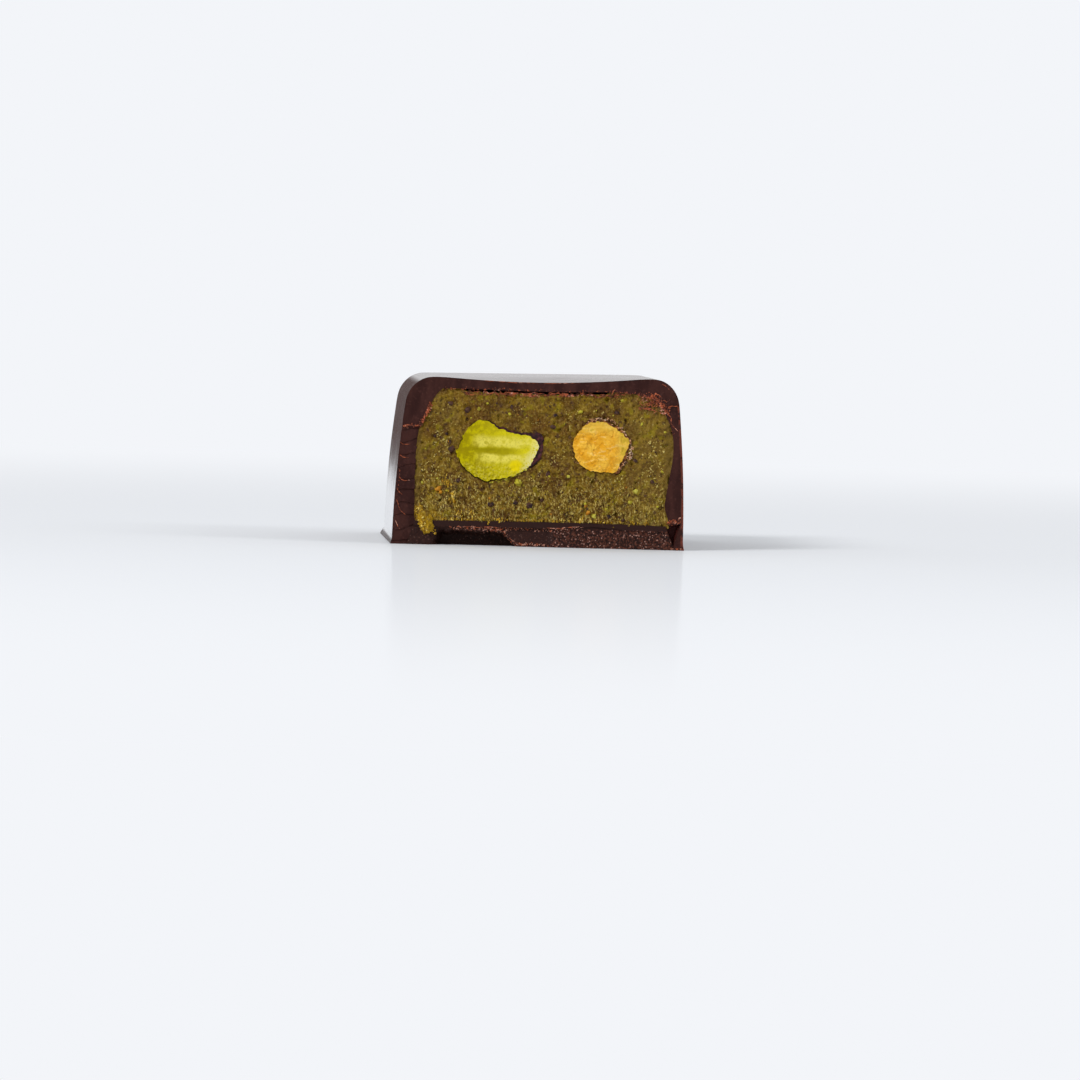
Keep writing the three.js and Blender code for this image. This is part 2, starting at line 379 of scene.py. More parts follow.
class Shader(Nodes):
    """One material on object coordinates."""

    def __init__(self, name, **constants):
        self.material = bpy.data.materials.new(name)
        self.material.use_nodes = True
        super().__init__(self.material.node_tree)
        self.surface = self.tree.nodes["Principled BSDF"].inputs
        for constant, value in constants.items():
            self.surface[constant.replace("_", " ")].default_value = value
        self.place = self.node("ShaderNodeTexCoord", output="Object")
        self.x, self.y, self.z = (
            self.node("ShaderNodeSeparateXYZ", {}, {0: self.place}, axis) for axis in "XYZ"
        )

    def spot(self, x, y, z):
        return self.node("ShaderNodeCombineXYZ", {}, {0: x, 1: y, 2: z})

    def noise(self, size, seed=0.0, detail=2.0, place=None):
        """Smooth noise from 0 to 1, in lumps of a size."""
        settings = {"noise_dimensions": "4D"}
        values = {"Vector": place or self.place, "W": seed, "Scale": 1 / size, "Detail": detail}
        return self.node("ShaderNodeTexNoise", settings, values)

    def cells(self, size, place=None):
        """Distance to the middle of the nearest of many random cells."""
        values = {"Vector": place or self.place, "Scale": 1 / size}
        return self.node("ShaderNodeTexVoronoi", {}, values, "Distance")

    def mix(self, share, first, second):
        return self.node("ShaderNodeMix", {"data_type": "RGBA"}, {0: share, 6: first, 7: second}, 2)

    def paint(self, color):
        """Gives the surface a colour, which layers then cover."""
        self.color = color
        self.feed(self.surface["Base Color"], color)

    def layer(self, share, red, green, blue):
        """Covers a share of the colour so far with another one."""
        self.paint(self.mix(share, self.color, srgb(red, green, blue)))

    def bump(self, height, depth, strength=1.0):
        """Fine relief of a depth, where height runs from 0 to 1."""
        values = {"Height": height, "Distance": depth, "Strength": strength}
        self.feed(self.surface["Normal"], self.node("ShaderNodeBump", {}, values))


def srgb(red, green, blue):
    """A colour as seen on a screen, from 0 to 255, as the linear colour that shaders use."""
    shown = (part / 255 for part in (red, green, blue))
    linear = (at / 12.92 if at <= 0.04045 else ((at + 0.055) / 1.055) ** 2.4 for at in shown)
    return (*linear, 1)


def coat(piece, shader):
    """Gives a whole piece one material."""
    piece.data.materials.clear()
    piece.data.materials.append(shader.material)
    for polygon in piece.data.polygons:
        polygon.material_index = 0


# Scuffed dull on the upper sides, glossy from the mould below, dull again at the foot
moulded = Shader("moulded chocolate", Specular_IOR_Level=0.3, Coat_Roughness=0.08)
scuff = moulded.noise(0.22 * mm, 1, 4).step(0.4, 0.6)
cloud = moulded.noise(3 * mm, 2, 3)
on_top = moulded.z.step(17.6 * mm, 18.2 * mm)
dull = (moulded.z + 3 * mm * (cloud - 0.5)).step(5 * mm, 13 * mm) * (1 - on_top)
lip = moulded.z.step(0.75 * mm, 0.35 * mm)
moulded.paint(moulded.mix(cloud.step(0.35, 0.65) * 0.6, srgb(46, 24, 20), srgb(62, 34, 28)))
moulded.layer(on_top * 0.5, 76, 42, 32)
moulded.layer(dull * (0.25 + 0.12 * scuff), 84, 50, 42)
gloss = 0.06 + 0.1 * cloud + 0.17 * on_top
moulded.feed(moulded.surface["Roughness"], gloss + (0.55 + 0.35 * scuff) * dull + 0.35 * lip)
shiny = (moulded.z + 3 * mm * (cloud - 0.5)).step(9 * mm, 3.5 * mm) * (1 - lip)
moulded.feed(moulded.surface["Coat Weight"], 0.9 * shiny + 0.12 * on_top)
moulded.bump(scuff * (1 + lip), 0.06 * mm, 0.1 + 0.4 * dull + 0.6 * lip)

# Smeared by the blade, with a paler, redder painted rim light down the right side
sliced = Shader("sliced chocolate", Specular_IOR_Level=0.12)
smear_marks = sliced.noise(1 * mm, 4, 3, sliced.spot(sliced.x, sliced.y, sliced.z * 0.3))
edge_x = sliced.x - lean * sliced.z + side_bow * sliced.z * sliced.z
# Painted rim light: a paler, redder band along the right edge of the cut face
painted_rim_light = (edge_x + 0.25 * mm * sliced.noise(0.8 * mm, 5)).step(15.87 * mm, 16.02 * mm)
painted_rim_light = painted_rim_light * sliced.noise(0.5 * mm, 6).step(0.35, 0.5) * sliced.z.step(16.5 * mm, 15.5 * mm)
sliced.paint(sliced.mix(smear_marks.step(0.35, 0.65), srgb(48, 22, 19), srgb(64, 34, 29)))
sliced.layer(sliced.noise(0.3 * mm, 8, 3).step(0.56, 0.66) * 0.35, 84, 50, 44)
# Recessed cut faces are painted lighter and redder, for the crumbs in them and as painted glints
recess_crumbs_and_glints = sliced.y.step(cut_y + 0.4 * mm, cut_y + 0.9 * mm)
sliced.layer(recess_crumbs_and_glints * 0.8, 92, 42, 38)
sliced.layer(painted_rim_light * 0.75, 120, 60, 46)
sliced.surface["Roughness"].default_value = 0.5
sliced.bump(sliced.noise(0.25 * mm, 7, 3), 0.03 * mm, 0.6)
for piece in (shell, cavity, channel, notch, waste):
    piece.data.materials.append(moulded.material)
    piece.data.materials.append(sliced.material)
for tool in (waste, cavity, channel, notch):
    for polygon in tool.data.polygons:
        polygon.material_index = sliced_slot
    carve(shell, tool)

soften(shell, 50)
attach(shell, "root")
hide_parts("shell")

# --- Poured backing ---
# The layer of chocolate poured on last, which the bar stands on. The knife cut its
# top strip smooth and broke the rest: granular to the right, a flat break in the
# middle and a deep chip to the left.

chip_left = -10.6 * mm
chip_right = -4.4 * mm
chip_top = 1.8 * mm
chip_depth = 2.2 * mm
chip_slant = 0.9  # how far the chip's right side runs to the right for each height down
facet_right = 1.8 * mm
facet_depth = 0.35 * mm
flank = 0.7 * mm


def between(value, low, high, slope):
    """1 between two places and 0 outside them, with a slope at each."""
    return ease(value, low, low + slope) * (1 - ease(value, high, high + slope))


def backing_relief(x, z):
    """How far each place of the broken backing lies behind the cut."""
    line = (2.02 + 0.28 * ease(x, 2 * mm, 5 * mm) - 0.4 * ease(x, 5 * mm, 14 * mm)) * mm
    line += 0.12 * mm * wave(x, z, 0.9 * mm, 20)
    broken = 1 - ease(z, line - 0.06 * mm, line + 0.04 * mm)
    coarse = wave(x, z, 0.9 * mm, 21) + 0.6 * wave(x, z, 0.4 * mm, 22)
    fine = wave(x, z, 0.2 * mm, 23)
    chip_end = chip_right + chip_slant * max(chip_top - z, 0)
    facet = between(x, chip_end, facet_right - flank, flank)
    grain = (0.16 + 0.06 * coarse + 0.05 * fine) * (1 - 0.8 * facet) * mm
    chip_edge = 0.25 * mm * wave(x, z, 0.8 * mm, 24) + 0.12 * mm * wave(x, z, 0.3 * mm, 26)
    undercut = 1 - ease(z + chip_edge, chip_top - flank, chip_top + 0.1 * mm)
    chip = ease(x + chip_edge, chip_left - 1.2 * mm, chip_left + 0.5 * flank)
    chip *= chip_depth * (1 - ease(x + chip_edge, chip_end, chip_end + flank)) * undercut
    return 0.06 * mm + broken * (grain + facet * facet_depth) + chip


backing_ring = [Vector(corner) * mm for corner in ((-14.7, -1), (-13.56, 2.62))]
for i in range(1, 90):
    x = (-13.56 + 27.6 * i / 90) * mm
    bulge = 0.16 * math.sin(math.pi * i / 90) ** 0.5
    backing_ring.append(Vector((x, (2.6 + bulge) * mm + 0.05 * mm * wave(x, 0, 1.6 * mm, 25))))
backing_ring += [Vector(corner) * mm for corner in ((14.08, 2.62), (15.59, -1))]
backing = prism("poured_backing", backing_ring, cut_y - 2 * spare, end_y - end_wall - 0.03 * mm)
flat_bottom(backing)
carve(backing, knife(-15.5 * mm, 16 * mm, -0.5 * mm, 3.2 * mm, 0.075 * mm, backing_relief))
soften(backing, 50)
broken = Shader("broken chocolate", Specular_IOR_Level=0.15)
strip = broken.z.step(2 * mm, 2.15 * mm)
grains = broken.noise(0.22 * mm, 20, 3)
# Sparse pinkish-white specks on the grains are painted glints
painted_grain_glints = broken.cells(0.26 * mm).step(0.36, 0.22) * broken.noise(0.35 * mm, 21).step(0.47, 0.55)
broken.paint(broken.mix(grains.step(0.42, 0.64), srgb(36, 16, 12), srgb(92, 51, 38)))
broken.layer(painted_grain_glints * 0.8, 188, 142, 128)
slope = broken.x + chip_slant * broken.z
facet_mask = slope.step(-2.6 * mm, -2.2 * mm) * broken.x.step(1.9 * mm, 1.4 * mm)
facet_mask = facet_mask * broken.z.step(0.3 * mm, 0.5 * mm)
left_mask = broken.x.step(-8 * mm, -10 * mm)
smooth = strip | (facet_mask | left_mask) * 0.85
broken.layer(smooth, 47, 25, 21)
# Painted shadow: the faces deep in the chip are darkened
painted_chip_shadow = broken.y.step(cut_y + 0.6 * mm, cut_y + 1.6 * mm)
painted_chip_shadow = painted_chip_shadow * broken.y.step(cut_y + 3.4 * mm, cut_y + 2.8 * mm)
broken.layer(painted_chip_shadow * 0.85, 30, 10, 4)
broken.surface["Roughness"].default_value = 0.6
broken.bump(grains, 0.08 * mm, 1.0 - 0.85 * smooth)
coat(backing, broken)
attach(backing, "root")
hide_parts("backing")

# --- Kernels ---
# Two whole kernels lie along the bar and the knife cut both: the green one still has
# its seam and its purple skin, and the roasted one is tan with flakes of brown skin.

green_outline = (
    (-9.15, 10.1), (-8.7, 11.3), (-8.35, 12.4), (-7.35, 13.5), (-6.1, 13.9),
    (-5.2, 13.4), (-4.3, 12.9), (-2.9, 12.5), (-1.4, 12.3), (-0.4, 11.7),
    (-0.1, 10.8), (-0.6, 9.9), (-0.95, 9.1), (-1.7, 8.4), (-3.1, 7.7),
    (-4.6, 7.35), (-5.9, 7.25), (-7.2, 7.75), (-8.15, 8.5), (-8.7, 9.3),
)
tan_outline = (
    (3.7, 11.0), (3.85, 12.1), (4.4, 13.0), (5.2, 13.7), (6.3, 13.95),
    (7.5, 13.75), (8.7, 13.05), (9.6, 12.2), (9.85, 11.5), (9.55, 10.7),
    (9.0, 9.5), (8.35, 8.45), (7.1, 8.4), (5.5, 8.65), (4.3, 9.4),
)
green_reach = 8.5 * mm
tan_reach = 7.5 * mm
groove_height = 10.5 * mm


def green_relief(x, z):
    """Smooth above, mealy below, with a seam along the middle."""
    mealy = 1 - ease(z + 0.4 * mm * wave(x, z, 1 * mm, 40), 8.6 * mm, 9.4 * mm)
    across = math.exp(-(((z - groove_height - 0.25 * mm * wave(x, 0, 1.6 * mm, 49)) / (0.3 * mm)) ** 2))
    groove = across * (1 - ease(x, -3.4 * mm, -1.6 * mm)) * ease(x, -8.6 * mm, -7 * mm)
    smooth = 0.1 * wave(x, z, 2.2 * mm, 41) + 0.03 * wave(x, z, 0.5 * mm, 42)
    rough = 0.12 * wave(x, z, 0.45 * mm, 43) + 0.08 * wave(x, z, 0.22 * mm, 44)
    return (0.12 * groove + smooth + (0.2 + mealy) * rough - 0.04) * mm


def tan_relief(x, z):
    """Rough all over, as a roasted kernel crumbles under the knife."""
    lumps = 0.12 * wave(x, z, 1.8 * mm, 45) + 0.08 * wave(x, z, 0.7 * mm, 46)
    fissure = max(0.08 - abs(wave(x, z, 1.5 * mm, 48)), 0) * 0.9
    return (lumps + fissure + 0.08 * wave(x, z, 0.28 * mm, 47) - 0.04) * mm


def ragged(ring, seed):
    """A ring made a little uneven, in broad waves and in small nicks."""
    return grown(ring, lambda spot: mm * (
        0.13 * wave(spot.x, spot.y, 0.9 * mm, seed) + 0.17 * wave(spot.x, spot.y, 0.34 * mm, seed + 1)
    ))


def rounded(reach):
    """Tapering steps that close a kernel with a rounded tip."""
    turns = [math.pi / 2 * i / 7 for i in range(7)]
    return [
        (reach * (math.sin(turn) - math.sin(last)), math.cos(turn))
        for last, turn in zip(turns, turns[1:])
    ]


def green_skin_depth(spot):
    """The skin is thick on the upper right and at the right end."""
    x, z = spot
    upper = 0.22 * ease(x, -6 * mm, -4.6 * mm) * ease(z, 11 * mm, 11.8 * mm)
    tip = 0.55 * ease(x, -1.8 * mm, -0.5 * mm) * ease(z, 8.4 * mm, 9.4 * mm)
    return (0.015 + (upper + tip) * (1 + 0.5 * wave(x, z, 0.9 * mm, 50))) * mm


def tan_skin_depth(spot):
    """The skin flakes off at the top, at the right and at the lower right."""
    x, z = spot
    top = 0.35 * ease(z, 13.1 * mm, 13.7 * mm) * ease(x, 4.6 * mm, 5.4 * mm)
    right = 0.3 * ease(x, 8 * mm, 8.8 * mm)
    right += 0.25 * ease(x, 8.2 * mm, 8.8 * mm) * (1 - ease(z, 9.6 * mm, 10.4 * mm))
    torn = 0.75 + 0.5 * wave(x, z, 0.6 * mm, 51) + 0.5 * wave(x, z, 0.22 * mm, 52)
    return (0.015 + (top + right) * max(torn, 0.1)) * mm


def kernel_and_skin(name, skin_name, outline, count, reach, relief, skin_depth):
    """A cut kernel, the thin skin round it, and the pocket that both leave in the paste."""
    ring = ragged(smooth_ring(outline, count), 53)
    skin_ring = grown(ring, skin_depth)
    kernel = prism(name, ring, cut_y - spare, cut_y, taper=rounded(reach))
    skin = prism(skin_name, skin_ring, cut_y - spare, cut_y, taper=rounded(reach))
    room = prism("room", grown(ring, 0.015 * mm), cut_y - 2 * spare, cut_y, taper=rounded(reach))
    middle = sum(ring, Vector((0, 0))) / len(ring)
    pocket_ring = grown(skin_ring, lambda spot: mm * (
        0.02 + 0.08 * wave(spot.x, spot.y, 1.1 * mm, 56) + 0.08 * ease(middle.y - spot.y, 0, 2 * mm)
    ))
    pocket = prism("pocket", pocket_ring, cut_y - 2 * spare, cut_y, taper=rounded(reach))
    carve(skin, room)
    low = [min(spot[i] for spot in skin_ring) - 0.5 * mm for i in range(2)]
    high = [max(spot[i] for spot in skin_ring) + 0.5 * mm for i in range(2)]
    carve(kernel, knife(low[0], high[0], low[1], high[1], 0.07 * mm, relief))
    carve(skin, knife(
        low[0], high[0], low[1], high[1], 0.07 * mm,
        lambda x, z: (0.16 + 0.08 * wave(x, z, 0.6 * mm, 54) + 0.05 * wave(x, z, 0.25 * mm, 55)) * mm,
    ))
    for piece in (kernel, skin):
        soften(piece, 50)
        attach(piece, "root")
    return kernel, skin, pocket


green, purple_skin, green_pocket = kernel_and_skin(
    "green_kernel", "purple_skin", green_outline, 130, green_reach, green_relief, green_skin_depth
)
tan, brown_skin, tan_pocket = kernel_and_skin(
    "tan_kernel", "brown_skin", tan_outline, 150, tan_reach, tan_relief, tan_skin_depth
)

# Pale flesh on both sides of a darker seam, mealy and brighter at the foot
nut = Shader("green kernel", Specular_IOR_Level=0.06, Roughness=0.45)
along = nut.x.step(-9.2 * mm, -0.3 * mm)
mottle = nut.noise(0.5 * mm, 41, 4)
meal = nut.noise(0.2 * mm, 43, 3)
band = nut.z + 0.7 * mm * nut.noise(1.3 * mm, 40, 4) - 0.35 * mm
seam = band.step(9.95 * mm, 10.35 * mm) * band.step(10.95 * mm, 10.6 * mm)
seam = seam * nut.x.step(-8 * mm, -6.5 * mm) * nut.x.step(-2 * mm, -3.6 * mm)
above_seam = band.step(10.7 * mm, 11.2 * mm) * band.step(12.4 * mm, 11.6 * mm)
above_seam = above_seam * nut.x.step(-7.8 * mm, -6.4 * mm)
below_seam = band.step(8.9 * mm, 9.6 * mm) * band.step(10.4 * mm, 10.0 * mm)
below_seam = below_seam * nut.x.step(-7.5 * mm, -5.5 * mm)
pale_flesh = (above_seam + below_seam) * (0.35 + 0.65 * mottle.step(0.38, 0.55))
bottom = band.step(9.4 * mm, 8.6 * mm)
nut.paint(nut.mix(mottle.step(0.4, 0.6), srgb(154, 138, 0), srgb(188, 174, 0)))
nut.layer(along * 0.7, 234, 220, 34)
nut.layer(pale_flesh, 232, 218, 90)
nut.layer(seam * 0.75, 150, 138, 2)
nut.layer(bottom * mottle.step(0.5, 0.6) * 0.6, 196, 180, 2)
nut.layer(bottom * meal.step(0.5, 0.6) * 0.5, 214, 200, 84)
nut.layer(meal.step(0.46, 0.36) * 0.22, 120, 106, 0)
aside, aloft = nut.x + 2.6 * mm, nut.z - 8.9 * mm  # from the middle of the yellow patch
patch = (aside * aside + aloft * aloft).step(0.7 * mm * mm, 0.2 * mm * mm)
nut.layer(patch * 0.85, 238, 214, 0)
tip = (nut.x - 0.45 * nut.z).step(-6.3 * mm, -5.1 * mm) * meal.step(0.42, 0.52)
nut.layer(tip * 0.75, 230, 222, 160)
nut.bump(meal, 0.06 * mm, 0.35 + 0.55 * bottom)
coat(green, nut)

roast = Shader("roasted kernel", Specular_IOR_Level=0.1, Roughness=0.6)
patch = roast.noise(1.2 * mm, 44, 3)
fine = roast.noise(0.3 * mm, 45, 3)
vein = abs(roast.noise(1.6 * mm, 48, 3) - 0.5)
fibre = roast.noise(0.3 * mm, 47, 4, roast.spot(roast.x * 0.3, roast.y, roast.z))
roast.paint(roast.mix(patch.step(0.4, 0.6), srgb(232, 164, 30), srgb(248, 194, 66)))
roast.layer(fibre.step(0.54, 0.64) * 0.55, 252, 214, 122)
roast.layer(fibre.step(0.46, 0.36) * 0.4, 204, 136, 26)
roast.layer(fine.step(0.54, 0.66) * 0.35, 190, 124, 22)
roast.layer(vein.step(0.02, 0.004) * 0.4, 176, 112, 18)
yellower = roast.x.step(7.8 * mm, 9.4 * mm) | roast.z.step(12.2 * mm, 13.4 * mm)
roast.layer(yellower * 0.6, 226, 190, 76)
roast.layer(yellower * patch.step(0.55, 0.62) * 0.6, 186, 158, 30)
roast.bump(fine, 0.07 * mm, 0.7)
coat(tan, roast)

for skin, low, high in (
    (purple_skin, srgb(40, 12, 18), srgb(84, 36, 40)),
    (brown_skin, srgb(80, 42, 20), srgb(176, 112, 54)),
):
    husk = Shader(skin.name.replace("_", " "), Specular_IOR_Level=0.25)
    flaky = husk.noise(0.35 * mm, 46, 3)
    husk.paint(husk.mix(flaky.step(0.4, 0.65), low, high))
    husk.surface["Roughness"].default_value = 0.55
    husk.bump(flaky, 0.06 * mm, 0.8)
    coat(skin, husk)
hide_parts("pistachio_kernel")
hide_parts("roasted_kernel")

# --- Nut paste ---
# Ground nuts and sugar, cast into the shell. The knife drags it: lumps and pits all
# over, upright drag marks in the lower half, a gap along the middle of the top, and a
# lump pulled down over the backing at the lower left.

smear_centre = (-12.35 * mm, 2.5 * mm)
smear_size = Vector((0.9, 0.85, 1.2)) * mm
smear_proud = 0.45 * mm


def paste_relief(x, z):
    """How far each place of the dragged paste lies behind the cut."""
    lumps = 0.18 * wave(x, z, 3 * mm, 60) + 0.14 * wave(x, z, 1.3 * mm, 61)
    grain = 0.17 * wave(x, z, 0.55 * mm, 62) + 0.13 * wave(x, z, 0.27 * mm, 63)
    low = 1 - ease(z, 5 * mm, 9 * mm)
    drag = 0.16 * wave(x + 0.2 * z, 0.25 * z, 0.3 * mm, 64) * (0.2 + low)
    pits = 0.9 * max(wave(x, z, 0.7 * mm, 67) - 0.4, 0)
    return (0.24 + lumps + grain + drag + pits) * mm


def drawn_away(spot):
    """The paste fills the shell, but sinks away from the middle of its top."""
    gap = between(spot.x, -9.3 * mm, 6.6 * mm, 1.6 * mm) * ease(spot.y, 16.4 * mm, 17 * mm)
    depth = 0.36 + 0.2 * wave(spot.x, 0, 0.8 * mm, 65) + 0.14 * wave(spot.x, 0, 0.3 * mm, 66)
    return (0.05 - gap * depth) * mm


paste_ring = grown(cavity_ring, drawn_away)
for spot in paste_ring:
    spot.y = max(spot.y, 2.35 * mm)
paste = prism("nut_paste", paste_ring, cut_y - spare, cavity_back - 0.05 * mm)
carve(paste, knife(-14.5 * mm, 15.5 * mm, 1.5 * mm, 18 * mm, 0.08 * mm, paste_relief))
bpy.ops.mesh.primitive_ico_sphere_add(subdivisions=5, radius=1)
smear = bpy.context.object
for vertex in smear.data.vertices:
    spot = vertex.co.copy()
    rough = 0.25 * noise.noise(spot * 1.3) + 0.22 * noise.noise(spot * 3.2)
    rough += 0.16 * noise.noise(spot * 7)
    vertex.co = [at * size * (1 + rough) for at, size in zip(spot, smear_size)]
    vertex.co += Vector((smear_centre[0], cut_y - smear_proud + smear_size.y, smear_centre[1]))
carve(paste, smear, operation="UNION")
carve(paste, green_pocket)
carve(paste, tan_pocket)
soften(paste, 60)

# Olive and brown paste, smoother above and grainier below where the blade dragged, and paler below,
# partly from painted highlights on the drag ridges
ground = Shader("nut paste", Specular_IOR_Level=0.13)
slanted = ground.spot(ground.x + 0.2 * ground.z, ground.y, ground.z * 0.32)
fog = ground.noise(2 * mm, 60, 3)
rich = 0.25 + 0.75 * (ground.noise(2.4 * mm, 70, 2) - 18 * (ground.z - 8 * mm)).step(0.36, 0.5)
grain = ground.noise(0.55 * mm, 61, 4)
fine = ground.noise(0.2 * mm, 68, 3)
streak = ground.noise(0.2 * mm, 62, 4, slanted)
low_half = ground.z.step(9 * mm, 4.5 * mm)
ground.paint(ground.mix(fog.step(0.42, 0.58), srgb(96, 66, 12), srgb(124, 96, 14)))
stain = ground.noise(3.4 * mm, 74, 2)
ground.layer(stain.step(0.52, 0.66) * 0.45, 126, 102, 42)
ground.layer(stain.step(0.46, 0.34) * 0.45, 108, 72, 12)
ground.layer(grain.step(0.52, 0.64) * 0.6 * rich, 152, 124, 40)
ground.layer(grain.step(0.47, 0.36) * 0.7 * rich, 76, 46, 6)
ground.layer(fine.step(0.55, 0.63) * (0.3 + 0.3 * low_half), 178, 152, 76)
ground.layer(fine.step(0.44, 0.36) * 0.5, 64, 38, 8)
# The drag streaks carry painted light: pale painted highlights on the ridges and dark painted shade
# between them, most in the lower half
ground.layer(streak.step(0.55, 0.63) * (0.12 + 0.55 * low_half), 196, 172, 92)
ground.layer(streak.step(0.43, 0.35) * (0.1 + 0.45 * low_half), 62, 40, 6)
ground.layer(ground.x.step(8 * mm, 12 * mm) * 0.35, 138, 112, 44)
mauve = ground.noise(1.0 * mm, 63, 3).step(0.58, 0.68)
ground.layer(mauve * 0.6, 80, 50, 26)
olive = ground.noise(1.3 * mm, 69, 3).step(0.56, 0.66)
ground.layer(olive * 0.6, 144, 126, 12)
shift = ground.noise(0.25 * mm, 71, 1)
wobbled = ground.spot(ground.x + 0.25 * mm * shift, ground.y, ground.z - 0.25 * mm * shift)
pale_grain = ground.cells(0.36 * mm, wobbled).step(0.34, 0.22)
pale_grain = pale_grain * ground.noise(0.9 * mm, 72, 2).step(0.5, 0.58)
ground.layer(pale_grain * (0.25 + 0.35 * low_half), 170, 150, 48)
lean_x, lean_z = ground.x + 0.5 * ground.z, ground.z - 0.5 * ground.x
leaning = ground.spot(lean_x + 0.3 * mm * shift, ground.y, 0.5 * lean_z)
# Dark slanted creases and pits are painted shade, with no relief under them
painted_crease_shade = ground.cells(0.4 * mm, leaning).step(0.27, 0.15)
painted_crease_shade = painted_crease_shade * ground.noise(0.8 * mm, 73, 2).step(0.45, 0.53)
ground.layer(painted_crease_shade * 0.8, 54, 30, 6)
dark_fleck = ground.cells(0.8 * mm, wobbled).step(0.34, 0.2)
dark_fleck = dark_fleck * ground.noise(1.2 * mm, 64).step(0.5, 0.56)
ground.layer(dark_fleck * 0.6, 60, 34, 34)
# Darker olive along both sides of the paste, above its foot
darker_side_band = abs(ground.x - 0.4 * mm).step(13.2 * mm, 13.7 * mm) * ground.z.step(4 * mm, 5 * mm)
ground.layer(darker_side_band * 0.6, 102, 80, 28)
lower_left = ground.z.step(4.4 * mm, 2.6 * mm) * ground.x.step(-10.6 * mm, -11.6 * mm)
ground.layer(lower_left * (0.25 + 0.7 * grain.step(0.44, 0.54)), 174, 136, 18)
ground.feed(ground.surface["Roughness"], 0.36 + 0.2 * grain)
ground.bump(fine + 0.6 * streak, 0.12 * mm, 0.9)
coat(paste, ground)
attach(paste, "root")
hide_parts("filling")

# --- Chocolate crumbs and shavings ---
# The blade tore crumbs and thin shavings off the shell: along the crack on the left,
# in the gap under the top, round the upper right, and along the broken backing. Fresh
# chocolate breaks with a paler, redder face, and the crumbs are painted paler still as
# painted light that thin crumbs catch, with pale painted highlights on them.

dice = random.Random(7)


def scattered(name, spots):
    """One mesh of many small rough lumps, each given by its place, three radii and tilt."""
    bpy.ops.mesh.primitive_ico_sphere_add(subdivisions=1, radius=1)
    piece = bpy.context.object
    piece.name = name
    ball = [vertex.co.copy() for vertex in piece.data.vertices]
    sides = [tuple(polygon.vertices) for polygon in piece.data.polygons]
    corners, faces = [], []
    for place, radii, tilt in spots:
        turn = Matrix.Rotation(tilt, 3, "Y") @ Matrix.Rotation(dice.uniform(-0.5, 0.5), 3, "X")
        shift = Vector([dice.uniform(-50, 50) for _ in range(3)])
        faces += [tuple(len(corners) + corner for corner in side) for side in sides]
        for spot in ball:
            rough = 1 + 0.55 * noise.noise(spot * 1.4 + shift)
            shaped = [at * radius * rough for at, radius in zip(spot, radii)]
            corners.append(place + turn @ Vector(shaped))
    piece.data.clear_geometry()
    piece.data.from_pydata(corners, [], faces)
    return piece


def along_line(stations, count, spread):
    """Random places near a line through [x, z] stations in millimetres."""
    places = []
    for _ in range(count):
        at, share = divmod(dice.uniform(0, len(stations) - 1), 1)
        start, end = (Vector(stations[min(int(at) + i, len(stations) - 1)]) for i in (0, 1))
        strayed = Vector((dice.gauss(0, spread), dice.gauss(0, spread)))
        places.append((start.lerp(end, share) + strayed) * mm)
    return places


# Stations, how many crumbs, how widely spread, smallest and largest radius, and the face
# they lie on, all in millimetres
crumb_lines = (
    (((-15.1, 13.0), (-14.2, 13.08), (-13.3, 13.05), (-12.8, 13.9)), 60, 0.1, 0.04, 0.13, shell_relief),
    (((-13.0, 13.6), (-12.45, 14.7), (-12.15, 15.5)), 60, 0.11, 0.04, 0.13, shell_relief),
    (((-10.6, 17.25), (-8.8, 17.2), (-7.5, 17.1)), 20, 0.1, 0.03, 0.08, shell_relief),
    (((-8.4, 17.3), (-3, 17.28), (3, 17.25), (8, 17.35)), 150, 0.07, 0.025, 0.07, shell_relief),
    (((-7, 16.85), (-3, 16.7), (1, 16.65), (5, 16.85)), 90, 0.1, 0.03, 0.09, paste_relief),
    (((8, 17.15), (10, 17.2), (11.6, 17.05)), 70, 0.1, 0.03, 0.08, shell_relief),
    (((11.6, 17.05), (12.6, 16.5), (13.4, 15.8), (13.9, 15.0)), 190, 0.26, 0.03, 0.11, shell_relief),
    (((14.0, 14.8), (14.6, 13.6), (14.8, 12.6)), 20, 0.1, 0.02, 0.06, shell_relief),
    (((-9, 2.06), (-5, 2.02), (-2, 1.98), (2, 2.0), (5, 2.28)), 100, 0.05, 0.03, 0.08, backing_relief),
    (((-9.6, 1.9), (-7, 1.85), (-5.2, 1.8), (-4.2, 1.7)), 120, 0.12, 0.03, 0.1, backing_relief),
    (((-3.8, 1.6), (-3.2, 1.85), (0, 1.85), (2.4, 1.8)), 60, 0.06, 0.03, 0.09, backing_relief),
    (((-4.1, 1.9), (-3.5, 1.2), (-2.9, 0.6), (-2.3, 0.15)), 50, 0.08, 0.03, 0.1, backing_relief),
    (((14.2, 3.0), (14.8, 3.15), (15.4, 3.1), (15.8, 3.3)), 60, 0.14, 0.04, 0.12, shell_relief),
    (((14.6, 0.2), (15.3, 0.15), (15.9, 0.15)), 20, 0.07, 0.03, 0.09, shell_relief),
    (((-2.4, 0.25), (-0.8, 0.3), (1.2, 0.25)), 44, 0.08, 0.03, 0.09, backing_relief),
    (((-15.3, 9), (-15.5, 6), (-15.65, 2)), 30, 0.06, 0.02, 0.05, shell_relief),
)
crumb_spots = []
for stations, count, spread, low, high, relief in crumb_lines:
    for x, z in along_line(stations, count, spread):
        size = dice.uniform(low, high) * mm
        sunk = dice.uniform(-0.6, 0.4) * size
        place = Vector((x, cut_y + relief(x, z) + sunk, max(z, size)))
        radii = [size * dice.uniform(0.6, 1.3) for _ in range(3)]
        crumb_spots.append((place, radii, dice.uniform(-1, 1)))
crumbs = scattered("chocolate_crumbs", crumb_spots)

shavings = bpy.data.curves.new("shavings", "CURVE")
shavings.dimensions = "3D"
shavings.bevel_depth = 1
shavings.bevel_resolution = 1
shavings.use_fill_caps = True


